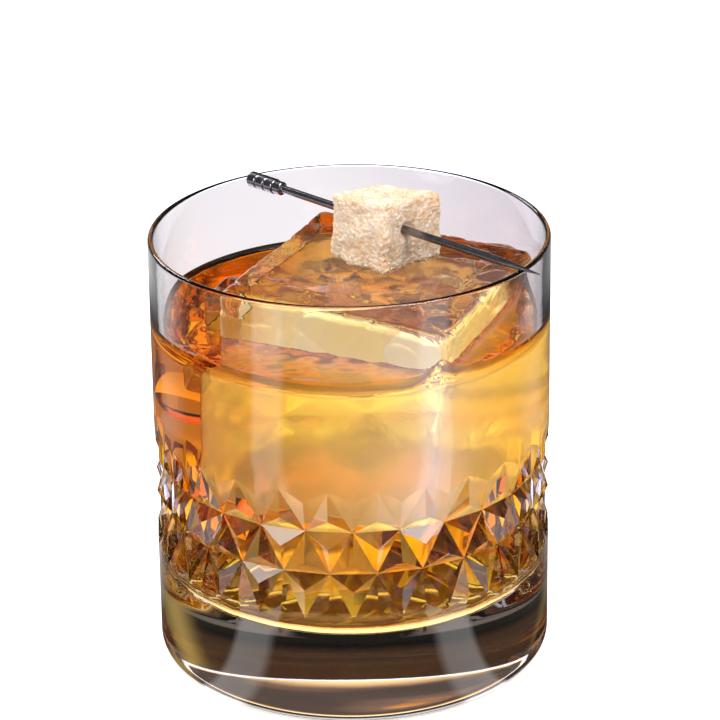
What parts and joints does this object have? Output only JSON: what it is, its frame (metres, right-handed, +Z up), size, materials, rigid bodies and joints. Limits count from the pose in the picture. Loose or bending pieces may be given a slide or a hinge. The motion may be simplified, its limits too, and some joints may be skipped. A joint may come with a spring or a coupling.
{
  "type": "godfather cocktail",
  "caption": "Amber cocktail with clear ice in a cut-crystal old-fashioned tumbler, a brown sugar cube on a steel cocktail pick across the rim.",
  "frame": {"origin": "centre of the ring that the tumbler stands on", "axes": "+Z up along the tumbler's axis; -Y is the viewer's side; +X to the viewer's right, where the pick's point lies over the lip"},
  "size_m": [0.084, 0.084, 0.1024],
  "materials": {
    "crystal": "polished clear cut crystal",
    "cocktail": "clear amber liquid",
    "ice": "clear melting ice",
    "steel": "dark polished steel",
    "sugar": "rough pale brown sugar crystals"
  },
  "bodies": {
    "root": {"glass": "crystal", "drink": "cocktail", "ice_cube": "ice", "ice_slab": "ice", "ice_shard": "ice", "pick": "steel", "sugar_cube": "sugar"}
  },
  "joints": []
}
